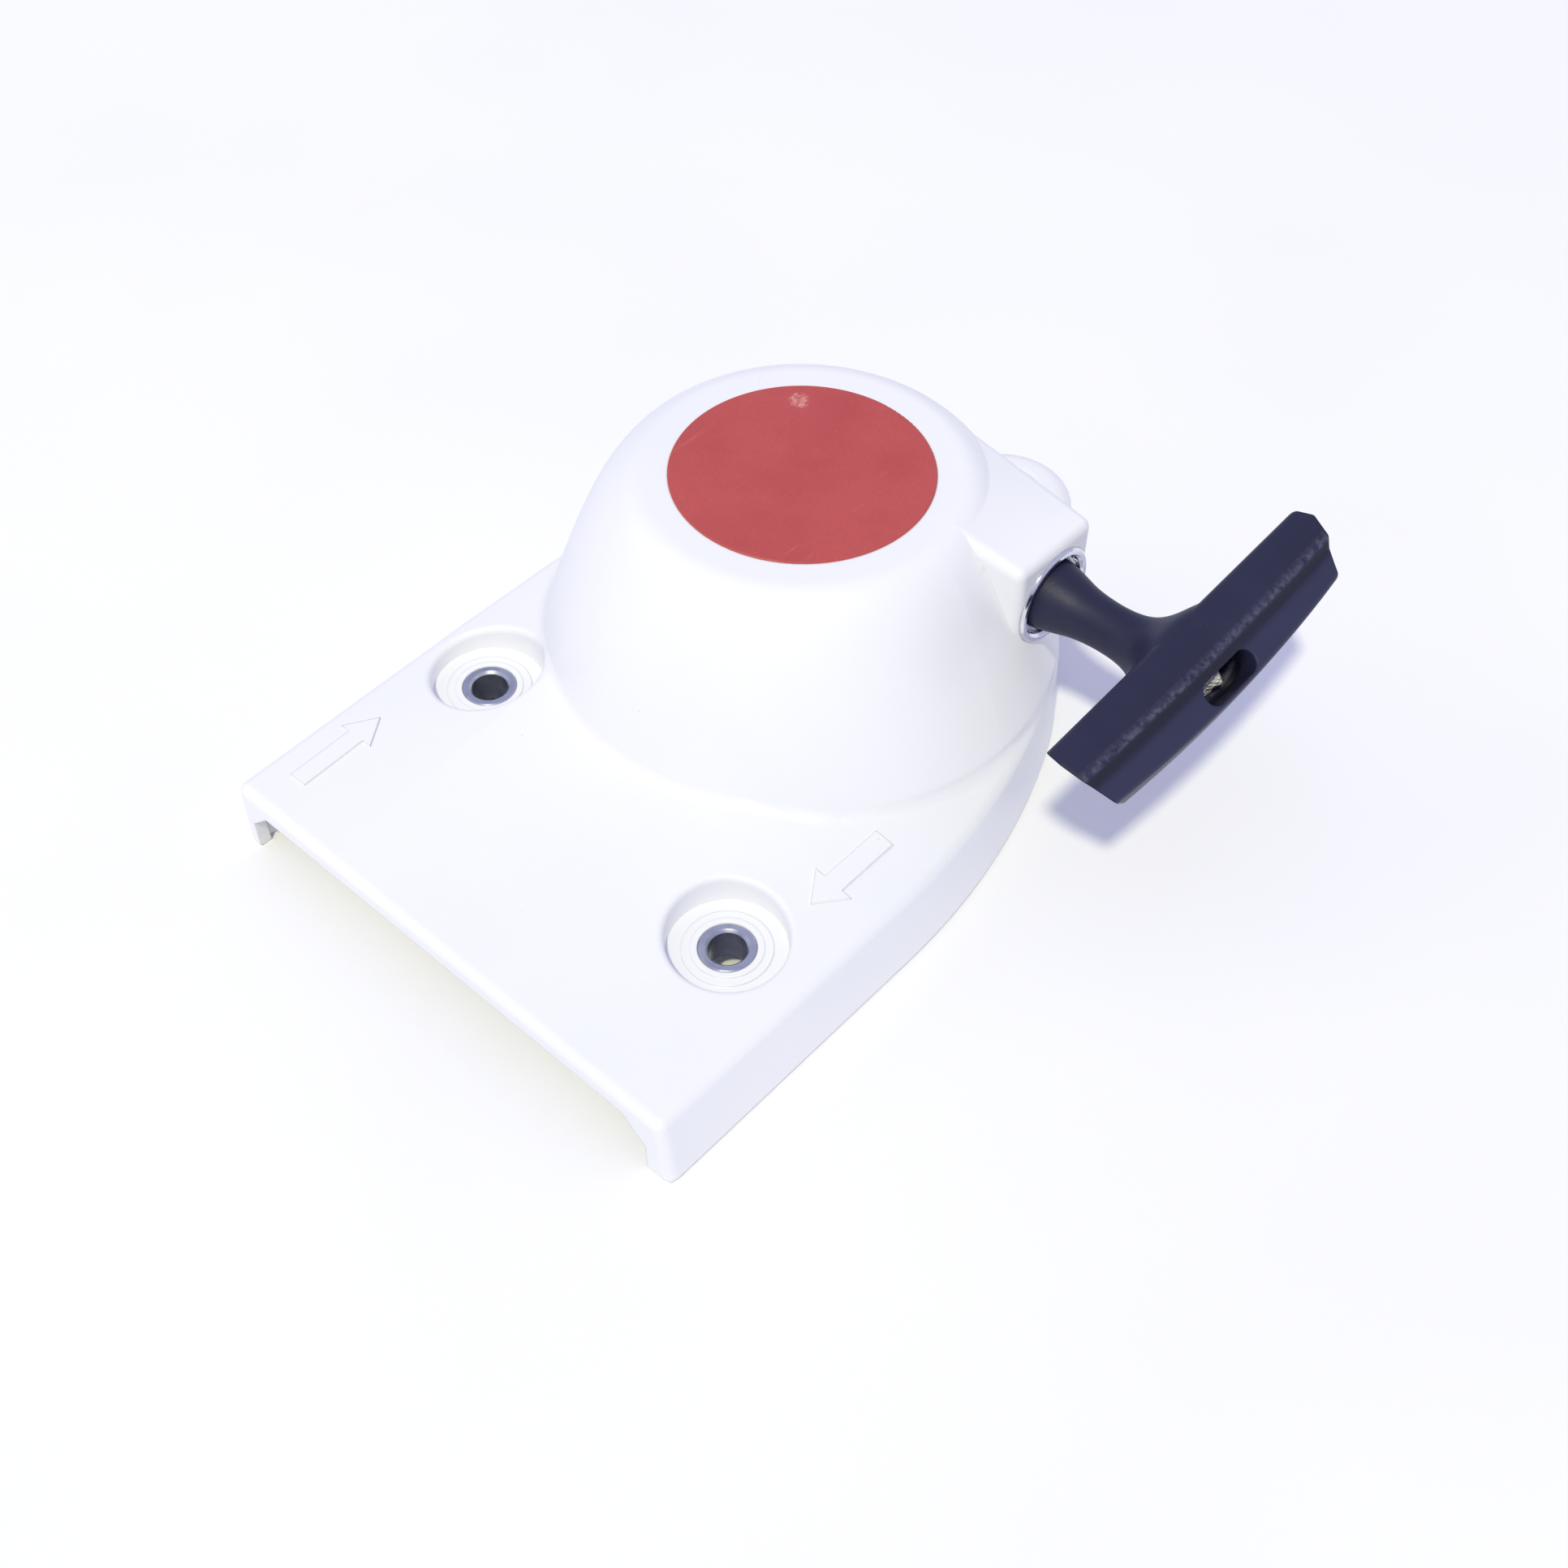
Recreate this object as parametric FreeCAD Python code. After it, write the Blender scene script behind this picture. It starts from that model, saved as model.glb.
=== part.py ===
import FreeCAD, Part
import math
import os

from FreeCAD import Vector

# Recoil starter for a small engine. Millimetres, +Z up.
# The origin is on the rotor's axis, in the plane of the cover's rim.
# +X is the way the rope is pulled; -Y is towards the cover's open front edge.

X, Y, Z = Vector(1, 0, 0), Vector(0, 1, 0), Vector(0, 0, 1)
ORIGIN = Vector(0, 0, 0)

# --- driving dimensions ------------------------------------------------------
WALL = 2.6                  # moulded wall of the cover
GAP = 0.3                   # air between pieces that move past each other

# cover outline, at the rim
REAR_RADIUS = 52.0          # the rear is round about the rotor's axis
FLANK_X = 60.5              # straight right-hand side
FLANK_BEND_Y = -38.0        # where that side starts to curve round
FRONT_Y = -99.8             # front edge
FLANK_LEAN = 0.13           # how far the sides lean in, per mm of height

# top of the plate: a raised middle panel between two creases
EDGE_Z = 16.0               # height of the plate along its edges
CREASE_X = 24.5
PANEL_SLOPE = 0.1           # rise of the middle panel, per mm towards the dome
PANEL_LEVEL_Y = -42.0       # the panel runs level from here to the rear
LIP_HEIGHT = 4.2            # front lip, above the air inlet
RIM_REBATE = 0.45           # step round the outside of the rim

# dome
DOME_TOP = 57.8
DOME_BASE_RADIUS = 50.6
DOME_BASE_Z = 20.3
DOME_FLAT_RADIUS = 29.5

# rope line and spout
ROPE_Y = 20.3               # the rope leaves the winding at this radius
ROPE_Z = 40.7
ROPE_DIAMETER = 3.5
SPOUT_END_X = 44.0
SPOUT_TOP_Z = 52.4
SPOUT_HALF_WIDTH = 10.6
SPOUT_ROOT = (8.0, 17.0, 17.2, 67.0, 54.6)  # section inside the dome: x, y, half width, near and far top
FERRULE_BORE = 8.2          # hole in the spout for the ferrule
FERRULE_LIP_RADIUS = 9.8
FERRULE_LIP_SEAT = 0.8      # how deep its lip is let into the spout's end
CREASE_FILLET = 2.5         # where the dome meets the plate

# screw places: (name, x, y, recess radius, height of its own boss or None)
SCREW_PLACES = [
    ("front", 40.7, -64.6, 12.0, None),
    ("left", -36.7, -49.8, 12.0, None),
    ("rear", 10.0, 52.0, 7.7, 26.0),
]
OWN_BOSS_RADIUS = 13.8
SLEEVE_COLUMN_RADIUS = 8.4  # solid column round a sleeve, under the recess
RECESS_WALL = 2.2
RECESS_FLOOR_WALL = 2.4
RECESS_TAPER = (1.1, 1.5)   # narrower than its radius at the floor, wider far above
RECESS_RIM_FILLET = 1.1
RECESS_STEPS = [(8.2, 0.2), (6.6, 0.35)]    # (radius, height) of the low steps round a sleeve
SLEEVE_RADIUS = 5.35
SLEEVE_BORE = 3.5
SLEEVE_LENGTH = 7.2
SLEEVE_TOP = 13.9
RECESS_FLOOR = 13.5

# inner stack, from the top down
BADGE_RADIUS = 24.7
BADGE_Z = (57.3, 58.1)
AXLE_RADIUS = 5.0
AXLE_Z = (22.5, 55.4)       # its top is pressed into the cover's hub boss
CLIP_GROOVE_RADIUS = 4.0
HUB_BOSS_RADIUS = 8.0
HUB_BOSS_END_Z = 49.9
COLLAR_RADIUS = 11.2        # rotor's collar, which the spring is hooked on
CASE_RADIUS = 26.0
CASE_WALL = 1.3
CASE_Z = (47.9, 55.1)
SPRING_Z = (48.6, 53.4)
ROTOR_RADIUS = 30.0
ROTOR_Z = (33.9, 47.5)
ROTOR_FLANGE = 1.5
ROTOR_CORE_RADIUS = 11.4
ROTOR_HUB_RADIUS = 9.4
ROTOR_HUB_BOTTOM = 28.4
ROTOR_HOLE_RING = 24.5      # six holes in each flange, on this radius
ROTOR_HOLE_RADIUS = 1.8
WINDING_RADIUS = ROPE_Y + ROPE_DIAMETER / 2
PAWL_PIVOT_X = 15.0
PAWL_PIN_RADIUS = 2.0
PAWL_PEG_X = 22.0
PAWL_PEG_RADIUS = 1.2
PAWL_Z = (28.9, 33.6)
CLIP_Z = 27.6
CLIP_WIRE = 0.6
WASHER_RADIUS = 9.0
WASHER_Z = (25.7, 26.7)
E_CLIP_RADIUS = 8.4
E_CLIP_Z = (24.5, 25.4)

# knot at the rope's end, inside the grip
KNOT = Vector(76.6, ROPE_Y, ROPE_Z)
KNOT_RADIUS = 3.5

# grip
GRIP_TURN = 4.3             # degrees it has turned on its rope
BAR_CORNERS = [             # (x, height over the rope line, corner radius, bulge at mid-length)
    (69.6, 9.8, 1.6, 0.0), (73.8, 10.3, 1.5, 0.3), (77.9, 8.35, 1.1, 0.9), (79.0, 6.7, 0.8, 1.0),
    (82.6, 3.6, 1.1, 2.3), (80.6, -2.6, 1.6, 2.2), (78.6, -6.2, 1.6, 1.6), (69.6, -6.4, 1.6, 0.0),
]
BAR_HALF_LENGTH = 36.8      # at the top of its inner edge
BAR_END_SLANT = 38.5        # degrees the end faces lean back towards the underside
BAR_END_FLARE = 0.15        # how far they spread, per mm along X
BAR_RECESS = (0.64, 0.45)   # recess in each end: its section against the bar's, and where it starts
STEM_SECTIONS = [           # (x, half width, top, bottom) of ellipses
    (41.4, 6.32, 6.3, -6.3), (42.4, 6.92, 6.9, -6.9), (44.5, 6.82, 6.8, -6.8), (47.5, 6.12, 6.1, -6.1),
    (51.5, 5.12, 5.1, -5.1), (56.0, 4.72, 4.7, -4.6), (60.0, 4.9, 4.8, -4.5), (63.0, 5.6, 5.4, -4.6),
    (65.5, 7.0, 6.7, -4.9), (67.5, 9.6, 8.3, -5.3), (69.5, 14.0, 9.8, -5.7), (71.8, 18.0, 10.0, -5.9),
]
POCKET_X = (72.4, 80.3)     # room for the knot
POCKET_RADIUS = 3.8         # of its two round sides
POCKET_HALF_GAP = 3.4       # half the distance between their centres
MOUTH = Vector(82.3, ROPE_Y, ROPE_Z + 5.2)  # middle of the slot that leads into it
MOUTH_TILT = 32.3           # degrees its way in leans towards +X
MOUTH_DEPTH = 7.4
MOUTH_RADIUS = 2.4
MOUTH_HALF_GAP = 4.6


# --- small helpers -----------------------------------------------------------
def cylinder(radius, z_low, z_high, x=0.0, y=0.0):
    return Part.makeCylinder(radius, z_high - z_low, Vector(x, y, z_low))


def tube(outer, inner, z_low, z_high, x=0.0, y=0.0):
    return cylinder(outer, z_low, z_high, x, y).cut(cylinder(inner, z_low - 1, z_high + 1, x, y))


def rope_line_cylinder(radius, x_low, x_high):
    return Part.makeCylinder(radius, x_high - x_low, Vector(x_low, ROPE_Y, ROPE_Z), X)


def prism(points, z_low, z_high):
    wire = Part.makePolygon([Vector(px, py, z_low) for px, py in points + points[:1]])
    return Part.Face(wire).extrude(Vector(0, 0, z_high - z_low))


def oval_prism(centre, way, radius, half_gap, length):
    """Prism of oval section, long along Y, that runs from its centre along a way."""
    across = way.cross(Y).normalize()
    ends = [centre - Y * half_gap, centre + Y * half_gap]
    corners = [ends[0] - across * radius, ends[1] - across * radius,
               ends[1] + across * radius, ends[0] + across * radius]
    body = Part.Face(Part.makePolygon(corners + corners[:1])).extrude(way * length)
    for end in ends:
        body = body.fuse(Part.makeCylinder(radius, length, end, way))
    return body.removeSplitter()


def revolved(points, origin, axis, radial):
    """Solid of revolution; points are (distance along axis, radius)."""
    places = [origin + axis * along + radial * radius for along, radius in points]
    wire = Part.makePolygon(places + places[:1])
    return Part.Face(wire).revolve(origin, axis, 360)


def rounded_outline(corners, radii):
    """Closed wire through corners in one plane, each rounded by a tangent arc of its own radius."""
    edges, ends = [], []
    count = len(corners)
    for index, (corner, radius) in enumerate(zip(corners, radii)):
        before = (corners[index - 1] - corner).normalize()
        after = (corners[(index + 1) % count] - corner).normalize()
        half_turn = before.getAngle(after) / 2
        setback = radius / math.tan(half_turn)
        bisector = (before + after).normalize()
        centre = corner + bisector * (radius / math.sin(half_turn))
        start, end = corner + before * setback, corner + after * setback
        middle = centre - bisector * radius
        ends.append((start, Part.Arc(start, middle, end).toShape(), end))
    for index, (start, arc, end) in enumerate(ends):
        edges.append(arc)
        edges.append(Part.makeLine(end, ends[(index + 1) % count][0]))
    return Part.Wire(edges)


def save(name, shape):
    solids = shape.Solids
    shape = solids[0] if len(solids) == 1 else Part.makeCompound(solids)
    shape.exportStep("parts/%s.step" % name)
    box = shape.BoundBox
    print("%-18s %d solid, %s, volume %.0f, z %.1f to %.1f" % (
        name, len(solids), "valid" if shape.isValid() else "NOT VALID", shape.Volume, box.ZMin, box.ZMax))


# --- cover -------------------------------------------------------------------
def outline_wire(z, inset):
    """Plan outline of the cover at one height: two straight sides, a curved flank and a round rear."""
    lean = FLANK_LEAN * z
    rear = REAR_RADIUS - inset - 0.05 * z
    flank = FLANK_X - inset - lean
    front = FRONT_Y + inset
    bend = FLANK_BEND_Y
    radius = (flank ** 2 + bend ** 2 - rear ** 2) / (2 * (flank - rear))
    centre = Vector(flank - radius, bend, z)
    to_rear = Vector(radius - flank, -bend, 0).normalize()
    join = Vector(0, 0, z) + to_rear * rear
    first = math.atan2(join.y - centre.y, join.x - centre.x) / 2
    flank_mid = centre + Vector(math.cos(first), math.sin(first), 0) * radius
    rear_angle = (math.atan2(join.y, join.x) + math.pi) / 2
    rear_mid = Vector(rear * math.cos(rear_angle), rear * math.sin(rear_angle), z)
    corners = [Vector(-rear, 0, z), Vector(-rear, front, z), Vector(flank, front, z), Vector(flank, bend, z)]
    return Part.Wire([
        Part.makeLine(corners[0], corners[1]),
        Part.makeLine(corners[1], corners[2]),
        Part.makeLine(corners[2], corners[3]),
        Part.Arc(corners[3], flank_mid, join).toShape(),
        Part.Arc(join, rear_mid, corners[0]).toShape(),
    ])


def outline_body(inset, z_low, z_high):
    return Part.makeLoft([outline_wire(z_low, inset), outline_wire(z_high, inset)], True, True)


def roof_section(y, lowered):
    crest = EDGE_Z - lowered + PANEL_SLOPE * (min(y, PANEL_LEVEL_Y) - FRONT_Y)
    edge = EDGE_Z - lowered
    far = 80.0
    drop = (crest - edge) / (FLANK_X - 2.5 - CREASE_X)
    outer_low = crest - drop * (far - CREASE_X)
    points = [(-far, -60), (-far, outer_low), (-CREASE_X, crest),
              (CREASE_X, crest), (far, outer_low), (far, -60)]
    return Part.makePolygon([Vector(px, y, pz) for px, pz in points + points[:1]])


def roof_body(lowered):
    """Everything under the plate's top: flat at the front edge, peaked towards the dome."""
    return Part.makeLoft([roof_section(y, lowered) for y in (FRONT_Y - 5, PANEL_LEVEL_Y, 80)], True, True)


def dome_profile(inset, z_low):
    """Half section of the dome: a leaning wall with a rounded shoulder and a flat top."""
    base = Vector(DOME_BASE_RADIUS - inset, 0, DOME_BASE_Z)
    top = Vector(DOME_FLAT_RADIUS - inset / 2, 0, DOME_TOP - inset)
    wall_reach = Vector(-7.9, 0, 23.0)
    shoulder_reach = Vector(7.5, 0, 0)
    curve = Part.BezierCurve()
    curve.setPoles([base, base + wall_reach, top + shoulder_reach, top])
    foot = Vector(REAR_RADIUS - inset - 0.2, 0, z_low)
    wire = Part.Wire([
        Part.makeLine(Vector(0, 0, z_low), foot),
        Part.makeLine(foot, base),
        curve.toShape(),
        Part.makeLine(top, Vector(0, 0, top.z)),
        Part.makeLine(Vector(0, 0, top.z), Vector(0, 0, z_low)),
    ])
    return Part.Face(wire)


def dome_body(inset, z_low):
    return dome_profile(inset, z_low).revolve(ORIGIN, Z, 360)


def spout_section(x, centre_y, half_width, near_top, far_top):
    """U-shaped section across the rope line; its top may slope from the near to the far side."""
    near, far = centre_y - half_width, centre_y + half_width
    top_near, top_far = Vector(x, near, near_top), Vector(x, far, far_top)
    left, right = Vector(x, near, ROPE_Z), Vector(x, far, ROPE_Z)
    bottom = Vector(x, centre_y, ROPE_Z - half_width)
    return Part.Wire([
        Part.makeLine(top_near, top_far),
        Part.makeLine(top_far, right),
        Part.Arc(right, bottom, left).toShape(),
        Part.makeLine(left, top_near),
    ])


def spout_body():
    end = spout_section(SPOUT_END_X, ROPE_Y - 0.2, SPOUT_HALF_WIDTH, SPOUT_TOP_Z, SPOUT_TOP_Z)
    spout = Part.makeLoft([spout_section(*SPOUT_ROOT), end], True, True)
    long_top = [edge for edge in spout.Edges
                if edge.BoundBox.ZMin > SPOUT_TOP_Z - 1 and edge.BoundBox.XLength > 20]
    end_edges = [edge for edge in spout.Edges if edge.BoundBox.XMin > SPOUT_END_X - 0.1]
    spout = spout.makeFillet(2.0, long_top + end_edges)
    return spout.cut(Part.makeBox(60, 80, 20, Vector(0, -20, DOME_TOP)))


def arrow(x, y_tail, y_tip):
    """Raised direction arrow on the plate, a shaft and a head."""
    way = math.copysign(1, y_tip - y_tail)
    neck = y_tip - way * 6
    points = [(x - 2, y_tail), (x - 2, neck), (x - 4.2, neck), (x, y_tip), (x + 4.2, neck), (x + 2, neck),
              (x + 2, y_tail)]
    return prism(points, 10, 30).common(roof_body(-0.4))


def front_opening():
    """Air inlet under the front lip, between the two side walls."""
    left = -REAR_RADIUS + WALL + 1
    right = FLANK_X - WALL - 3
    top = EDGE_Z - LIP_HEIGHT
    corner = 5.0
    points = [(left, -1), (left, top - corner), (left + corner, top), (right - corner, top),
              (right, top - corner), (right, -1)]
    wire = Part.makePolygon([Vector(px, FRONT_Y - 5, pz) for px, pz in points + points[:1]])
    return Part.Face(wire).extrude(Vector(0, 12, 0))


def soften(shape, radius, wanted):
    return shape.makeFillet(radius, [edge for edge in shape.Edges if wanted(edge)])


def is_plate_rim(edge):
    """Top edge of the plate where it meets the sides, the front and the corner verticals."""
    middle = edge.valueAt((edge.FirstParameter + edge.LastParameter) / 2)
    off_axis = math.hypot(middle.x, middle.y)
    near_side = middle.x > FLANK_X - 6 or middle.x < -REAR_RADIUS + 3 or middle.y < FRONT_Y + 3
    return near_side and middle.z > 5 and off_axis > 51 and middle.z < 19 and edge.Length > 5


def is_dome_crease(edge):
    """Edge where the dome rises out of the plate, along the front and the sides."""
    middle = edge.valueAt((edge.FirstParameter + edge.LastParameter) / 2)
    off_axis = math.hypot(middle.x, middle.y)
    return 16.5 < middle.z < 24 and 49.5 < off_axis < 51.2 and middle.y < 15


def is_recess_rim(edge, x, y, radius):
    """Edge round the top of a screw recess."""
    places = [edge.valueAt(edge.FirstParameter + share * (edge.LastParameter - edge.FirstParameter))
              for share in (0.1, 0.5, 0.9)]
    gaps = [math.hypot(place.x - x, place.y - y) - radius for place in places]
    return all(-1.2 < gap < 0.6 for gap in gaps) and min(place.z for place in places) > RECESS_FLOOR + 0.5


def screw_recess(x, y, radius):
    """Round tapered recess that is cut down to a screw's floor."""
    narrow, wide = RECESS_TAPER
    high = 60
    return revolved([(0, 0), (0, radius - narrow), (high, radius + wide), (high, 0)],
                    Vector(x, y, RECESS_FLOOR), Z, X)


def cover_outside():
    plate = outline_body(0, 0, 30).common(roof_body(0))
    plate = soften(plate, 2.0, is_plate_rim)
    outer = plate.fuse(dome_body(0, 0))
    outer = soften(outer, CREASE_FILLET, is_dome_crease)
    outer = outer.fuse(spout_body())
    for _, x, y, _, boss_top in SCREW_PLACES:
        if boss_top:
            boss = cylinder(OWN_BOSS_RADIUS, 0, boss_top, x, y)
            outer = outer.fuse(boss.makeFillet(4.0, [boss.Edges[0]]))
    for x, y_tail, y_tip in ((47.2, -30.0, -50.0), (-43.0, -91.5, -71.5)):
        outer = outer.fuse(arrow(x, y_tail, y_tip))
    return outer


def cover_inside():
    """Space under the cover, with its hub boss and screw columns left standing."""
    inner = outline_body(WALL, -1, 30).common(roof_body(2.5)).fuse(dome_body(WALL, -1))
    for _, x, y, _, boss_top in SCREW_PLACES:
        if boss_top:
            inner = inner.fuse(cylinder(OWN_BOSS_RADIUS - WALL, -1, boss_top - WALL - 1, x, y))
    outside_dome = Part.makeBox(60, 80, 80, Vector(33.6, -20, -5))
    inner = inner.cut(spout_body().common(outside_dome))
    columns = [cylinder(HUB_BOSS_RADIUS, HUB_BOSS_END_Z, DOME_TOP - 1)]
    for _, x, y, radius, _ in SCREW_PLACES:
        columns.append(cylinder(SLEEVE_COLUMN_RADIUS, SLEEVE_TOP - SLEEVE_LENGTH, 30, x, y))
        columns.append(cylinder(radius + RECESS_WALL, RECESS_FLOOR - RECESS_FLOOR_WALL, 44, x, y))
    for column in columns:
        inner = inner.cut(column)
    return inner


def starter_cover():
    cover = cover_outside().cut(cover_inside())
    for _, x, y, radius, _ in SCREW_PLACES:
        cover = cover.cut(screw_recess(x, y, radius))
        cover = soften(cover, RECESS_RIM_FILLET, lambda edge: is_recess_rim(edge, x, y, radius))
        for step_radius, height in RECESS_STEPS:
            step = tube(step_radius, SLEEVE_RADIUS, RECESS_FLOOR - 0.5, RECESS_FLOOR + height, x, y)
            cover = cover.fuse(step)
        cover = cover.cut(cylinder(SLEEVE_RADIUS, 0, SLEEVE_TOP + 1, x, y))
    rebate = outline_body(-1, -1, RIM_REBATE).cut(outline_body(RIM_REBATE, -2, RIM_REBATE + 1))
    cover = cover.cut(rebate)
    cover = cover.cut(front_opening())
    cover = cover.cut(cylinder(AXLE_RADIUS, HUB_BOSS_END_Z - 1, AXLE_Z[1]))
    cover = cover.cut(cylinder(BADGE_RADIUS, BADGE_Z[0], 60))
    cover = cover.cut(rope_line_cylinder(FERRULE_BORE, 28, SPOUT_END_X + 1))
    return cover.cut(rope_line_cylinder(FERRULE_LIP_RADIUS, SPOUT_END_X - FERRULE_LIP_SEAT, SPOUT_END_X + 1))


# --- pieces fixed in the cover ----------------------------------------------
def badge_disc():
    disc = cylinder(BADGE_RADIUS, BADGE_Z[0], BADGE_Z[1])
    return soften(disc, 0.25, lambda edge: edge.BoundBox.ZMin > BADGE_Z[1] - 0.1 and edge.Length > 20)


def screw_sleeve(x, y):
    low, high = SLEEVE_TOP - SLEEVE_LENGTH, SLEEVE_TOP
    profile = [
        (low, SLEEVE_BORE), (low, SLEEVE_RADIUS), (high - 0.3, SLEEVE_RADIUS), (high, SLEEVE_RADIUS - 0.3),
        (high, SLEEVE_BORE + 0.5), (high - 0.5, SLEEVE_BORE),
    ]
    return revolved(profile, Vector(x, y, 0), Z, X)


def rope_ferrule():
    """Steel eyelet with a rolled lip, a seat for the grip's stem and a flared throat for the rope."""
    end, lip = SPOUT_END_X, FERRULE_LIP_RADIUS
    seat, back = end - FERRULE_LIP_SEAT, end - 10.6
    profile = [
        (seat, FERRULE_BORE), (seat, lip), (end + 0.2, lip), (end + 0.6, lip - 0.4), (end + 0.6, lip - 1.2),
        (end + 0.1, 8.1), (end - 3.2, 7.85), (end - 3.6, 7.2), (end - 6.0, 3.2), (end - 7.5, 2.5),
        (end - 9.0, 3.0), (back + 0.4, 4.6), (back, 6.4), (back, FERRULE_BORE),
    ]
    return revolved(profile, Vector(0, ROPE_Y, ROPE_Z), X, Z)


def rotor_axle():
    """Plain pin with a chamfer and a groove for the e-clip at its lower end."""
    low, high = AXLE_Z
    chamfer = 0.8
    profile = [
        (low, 0), (low, AXLE_RADIUS - chamfer), (low + chamfer, AXLE_RADIUS), (E_CLIP_Z[0], AXLE_RADIUS),
        (E_CLIP_Z[0], CLIP_GROOVE_RADIUS), (E_CLIP_Z[1], CLIP_GROOVE_RADIUS), (E_CLIP_Z[1], AXLE_RADIUS),
        (high, AXLE_RADIUS), (high, 0),
    ]
    return revolved(profile, ORIGIN, Z, X)


def spring_case():
    """Shallow cup, open below, round the cover's hub boss."""
    low, high = CASE_Z
    inner = CASE_RADIUS - CASE_WALL
    return tube(CASE_RADIUS, HUB_BOSS_RADIUS, low, high).cut(cylinder(inner, low - 1, high - CASE_WALL))


def rewind_spring():
    """Flat spiral strip: wound out from the rotor's collar to the case's wall."""
    turns, steps = 7, 24
    inner, outer = 12.2, CASE_RADIUS - 2.0
    thick = 0.7
    inside, outside = [], []
    for step in range(turns * steps + 1):
        angle = 2 * math.pi * step / steps
        radius = inner + (outer - inner) * step / (turns * steps)
        out = Vector(math.cos(angle), math.sin(angle), 0)
        inside.append(out * radius + Z * SPRING_Z[0])
        outside.append(out * (radius + thick) + Z * SPRING_Z[0])
    edges = []
    for side in (inside, outside):
        curve = Part.BSplineCurve()
        curve.interpolate(side)
        edges.append(curve.toShape())
    ends = [Part.makeLine(inside[0], outside[0]), Part.makeLine(inside[-1], outside[-1])]
    strip = Part.Face(Part.Wire(Part.__sortEdges__(edges + ends)))
    return strip.extrude(Vector(0, 0, SPRING_Z[1] - SPRING_Z[0]))


def axle_washer():
    return tube(WASHER_RADIUS, AXLE_RADIUS, WASHER_Z[0], WASHER_Z[1])


def e_clip():
    """Spring clip that is open to one side, with two notches for its tool."""
    low, high = E_CLIP_Z
    ring = tube(E_CLIP_RADIUS, CLIP_GROOVE_RADIUS, low, high)
    mouth = prism([(-3.2, 0), (3.2, 0), (5.2, 12), (-5.2, 12)], low - 1, high + 1)
    notches = [cylinder(1.6, low - 1, high + 1, side * 6.0, -2.6) for side in (-1, 1)]
    return ring.cut(mouth).cut(notches[0]).cut(notches[1])


# --- rotor -------------------------------------------------------------------
def rope_rotor():
    """Grooved wheel with a hub below, a collar above for the spring, and the pawl's pin."""
    low, high = ROTOR_Z
    under, over = low + ROTOR_FLANGE, high - ROTOR_FLANGE
    bore = AXLE_RADIUS + 0.06
    collar_bore = HUB_BOSS_RADIUS + GAP + 0.2
    collar_top = SPRING_Z[1] - 0.6
    hub_top = HUB_BOSS_END_Z - GAP
    edge = ROTOR_RADIUS - 0.4
    profile = [
        (ROTOR_HUB_BOTTOM, bore), (ROTOR_HUB_BOTTOM, ROTOR_HUB_RADIUS), (low, ROTOR_HUB_RADIUS),
        (low, edge), (low + 0.4, ROTOR_RADIUS), (under, ROTOR_RADIUS), (under + 0.4, ROTOR_CORE_RADIUS),
        (over - 0.4, ROTOR_CORE_RADIUS), (over, ROTOR_RADIUS), (high - 0.4, ROTOR_RADIUS), (high, edge),
        (high, COLLAR_RADIUS), (collar_top, COLLAR_RADIUS), (collar_top, collar_bore),
        (hub_top, collar_bore), (hub_top, bore),
    ]
    rotor = revolved(profile, ORIGIN, Z, X)
    rotor = rotor.fuse(cylinder(PAWL_PIN_RADIUS, PAWL_Z[0] + 0.3, low + 0.5, PAWL_PIVOT_X, 0))
    for index in range(6):
        angle = math.radians(60 * index + 30)
        x, y = ROTOR_HOLE_RING * math.cos(angle), ROTOR_HOLE_RING * math.sin(angle)
        rotor = rotor.cut(cylinder(ROTOR_HOLE_RADIUS, low - 1, under + 1, x, y))
        rotor = rotor.cut(cylinder(ROTOR_HOLE_RADIUS, over - 1, high + 1, x, y))
    return rotor


def rope_winding():
    """Outer shape of the rope wound in the rotor's groove."""
    low = ROTOR_Z[0] + ROTOR_FLANGE + 0.45
    high = ROTOR_Z[1] - ROTOR_FLANGE - 0.45
    ring = tube(WINDING_RADIUS, ROTOR_CORE_RADIUS, low, high)
    return soften(ring, 1.2, lambda edge: edge.Length > 2 * math.pi * (WINDING_RADIUS - 0.1)
                  and edge.BoundBox.ZLength < 0.1)


# --- pawl and its drag clip --------------------------------------------------
def pawl():
    """Hooked arm on the rotor's pin, with a peg below for the drag clip."""
    low, high = PAWL_Z
    pivot, peg = PAWL_PIVOT_X, PAWL_PEG_X
    arm = [
        (pivot - 3.3, 1.2), (pivot - 1.9, -6.5), (pivot + 0.6, -12.6), (pivot + 3.6, -12.9),
        (pivot + 3.2, -8.5), (pivot + 4.2, -3.0), (peg, -2.3), (peg, 2.3), (pivot, 3.5),
    ]
    body = prism(arm, low, high)
    body = body.fuse(cylinder(PAWL_PIN_RADIUS + 1.6, low, high, pivot, 0))
    body = body.fuse(cylinder(PAWL_PEG_RADIUS + 1.1, low, high, peg, 0))
    body = body.fuse(cylinder(PAWL_PEG_RADIUS, CLIP_Z - 1.0, low + 0.5, peg, 0))
    return body.cut(cylinder(PAWL_PIN_RADIUS + 0.06, low - 1, high + 1, pivot, 0))


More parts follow.
